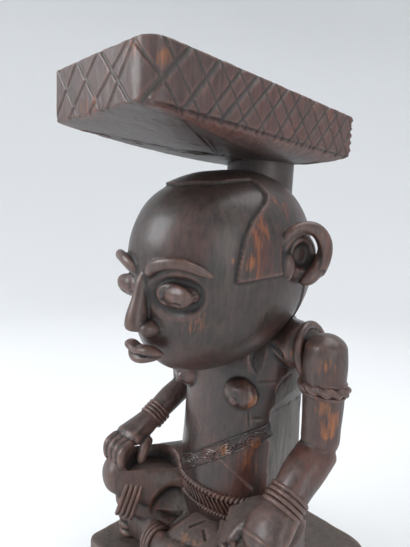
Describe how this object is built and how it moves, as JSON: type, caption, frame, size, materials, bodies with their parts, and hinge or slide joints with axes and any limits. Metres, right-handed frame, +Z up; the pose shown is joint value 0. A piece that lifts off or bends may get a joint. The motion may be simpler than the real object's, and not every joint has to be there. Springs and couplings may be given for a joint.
{
  "type": "kuba figure",
  "caption": "Seated cross-legged wooden figure on a low plinth, wearing a long slab headdress with crossed grooves, carved from one block.",
  "frame": {"origin": "middle of the plinth's underside, where the figure stands", "axes": "+Z up, the figure faces -Y and its own left side is +X"},
  "size_m": [0.2016, 0.245, 0.458],
  "materials": {
    "carved_wood": "dark polished hardwood, worn to orange brown on its edges"
  },
  "bodies": {
    "root": {"figure": "carved_wood"}
  },
  "joints": []
}
